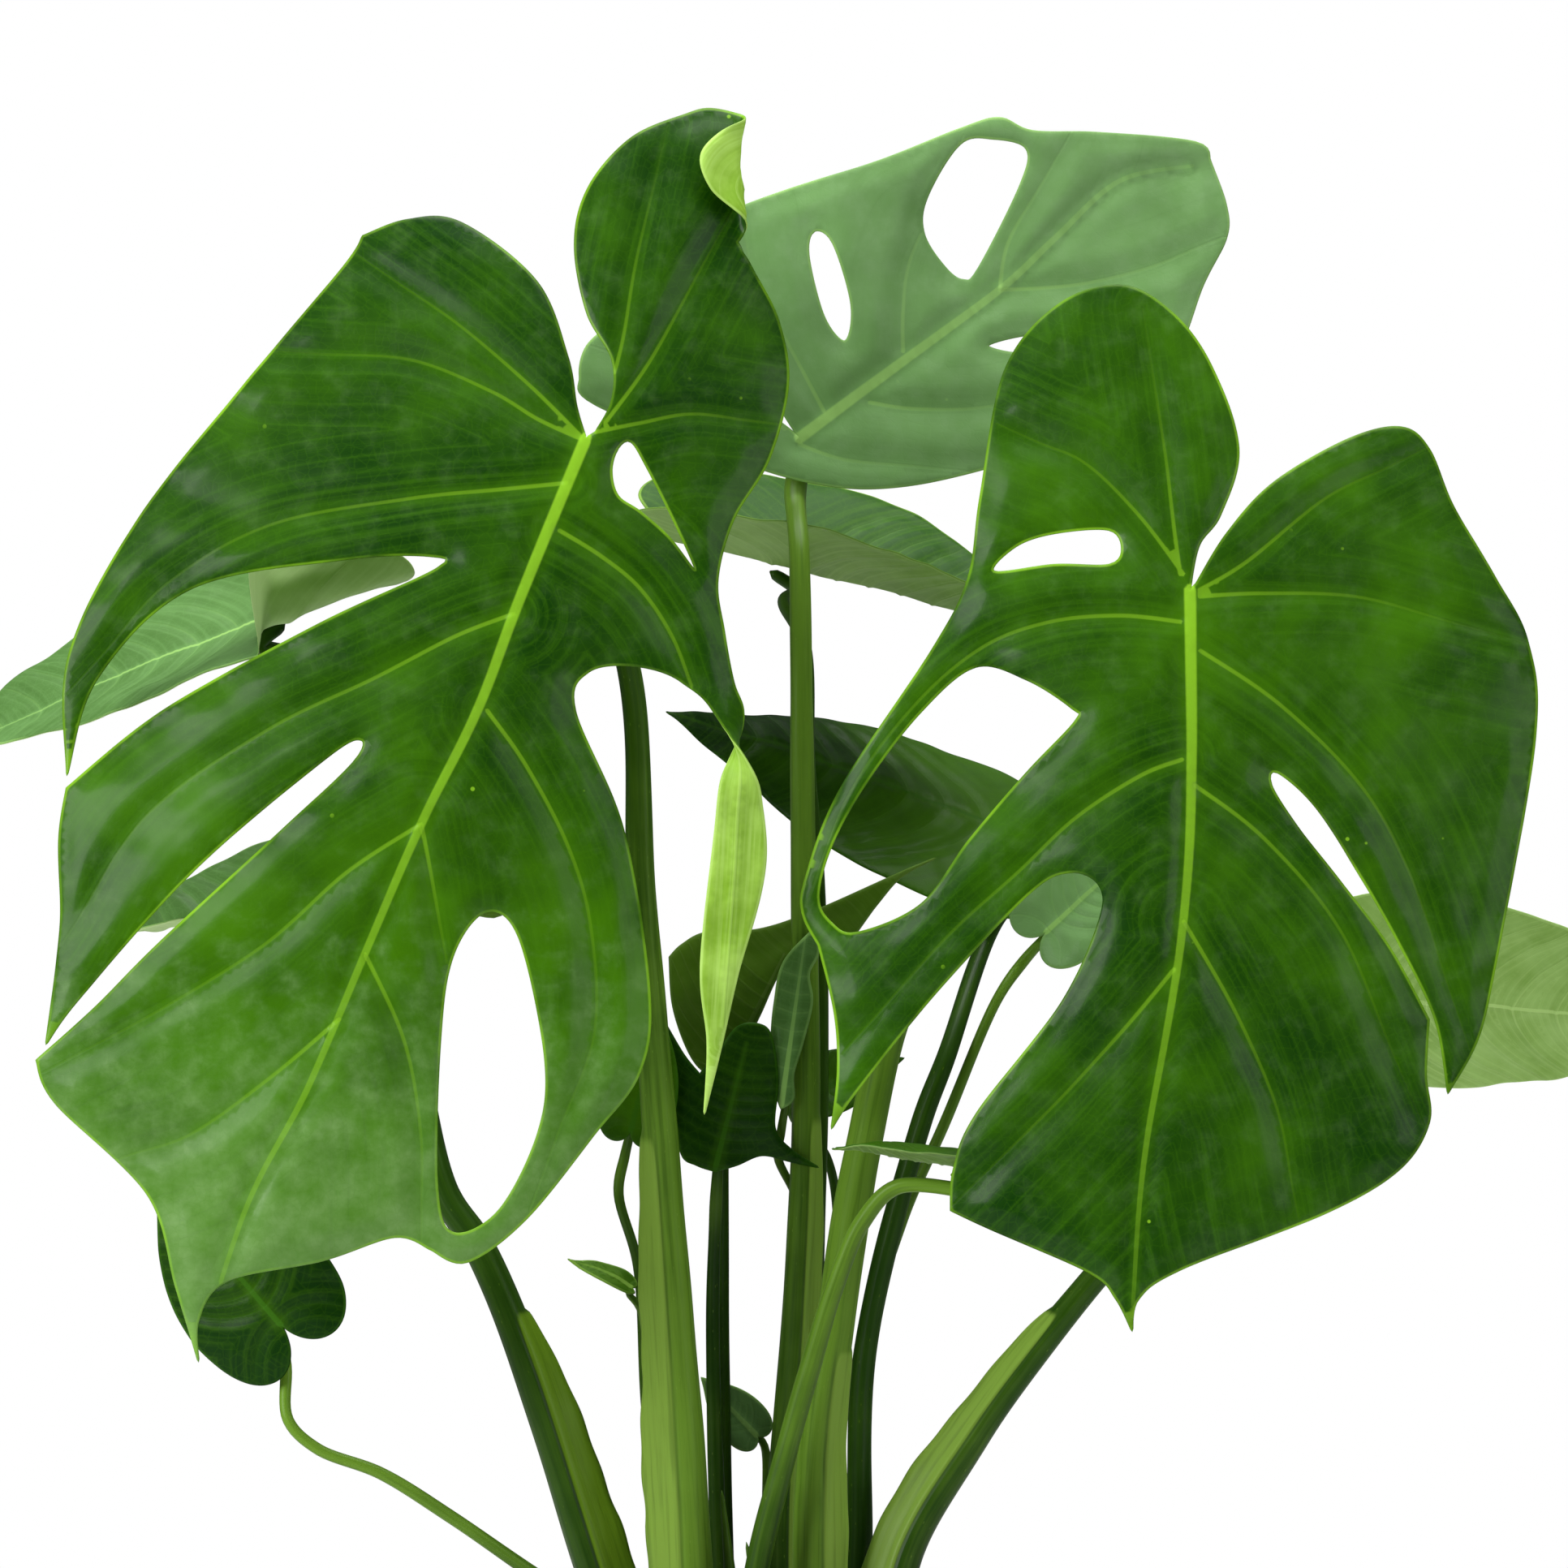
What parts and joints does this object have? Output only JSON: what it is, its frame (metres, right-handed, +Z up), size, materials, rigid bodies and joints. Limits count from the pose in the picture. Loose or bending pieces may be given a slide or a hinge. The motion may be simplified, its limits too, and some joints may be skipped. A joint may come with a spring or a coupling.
{
  "type": "potted monstera plant",
  "caption": "Monstera plant with large split and holed heart-shaped leaves on long sheathed stalks, rooted in soil in a plain round nursery pot.",
  "frame": {"origin": "middle of the pot's underside", "axes": "+Z up; the plant's front, where its two large leaves face, is -Y; +X is to the viewer's right"},
  "size_m": [0.5907, 0.2389, 0.6917],
  "materials": {
    "pot_plastic": "matte, lightly grained",
    "potting_soil": "rough, crumbly peat and bark",
    "leaf_green": "glossy living leaf",
    "leaf_grey_green": "satin grey-green leaf",
    "leaf_bright": "matte pale leaf underside",
    "leaf_dark": "glossy dark leaf",
    "stalk_green": "smooth, satin",
    "stalk_dark": "smooth, satin"
  },
  "bodies": {
    "root": {"pot": "pot_plastic", "soil": "potting_soil", "leaf_front_left": "leaf_green", "leaf_front_right": "leaf_green", "leaf_back_top": "leaf_grey_green", "leaf_centre_olive": "leaf_green", "leaf_centre_dark": "leaf_dark", "leaf_young_folded": "leaf_grey_green", "leaf_back_middle": "leaf_bright", "leaf_back_dark": "leaf_dark", "leaf_far_left": "leaf_grey_green", "leaf_left_behind": "leaf_grey_green", "leaf_low_left": "leaf_dark", "leaf_far_right": "leaf_bright", "leaf_right_gap": "leaf_grey_green", "leaf_right_small": "leaf_dark", "leaf_behind_stalk": "leaf_dark", "leaf_small_back": "leaf_dark", "leaf_low_small": "leaf_grey_green", "leaf_left_sliver": "leaf_bright", "stalk_front_left": "stalk_green", "stalk_front_right": "stalk_green", "stalk_back_top": "stalk_dark", "stalk_back_middle": "stalk_dark", "stalk_back_dark": "stalk_dark", "stalk_far_left": "stalk_dark", "stalk_left_behind": "stalk_green", "stalk_low_left": "stalk_green", "stalk_far_right": "stalk_green", "stalk_centre_dark": "stalk_green", "stalk_centre_olive": "stalk_dark", "stalk_young_folded": "stalk_green", "stalk_right_gap": "stalk_green", "stalk_right_small": "stalk_green", "stalk_behind": "stalk_green", "stalk_small_back": "stalk_dark", "stalk_low_small": "stalk_green", "stalk_left_sliver": "stalk_green", "bud_scale_left": "stalk_green", "bud_scale_front": "stalk_green"}
  },
  "joints": []
}
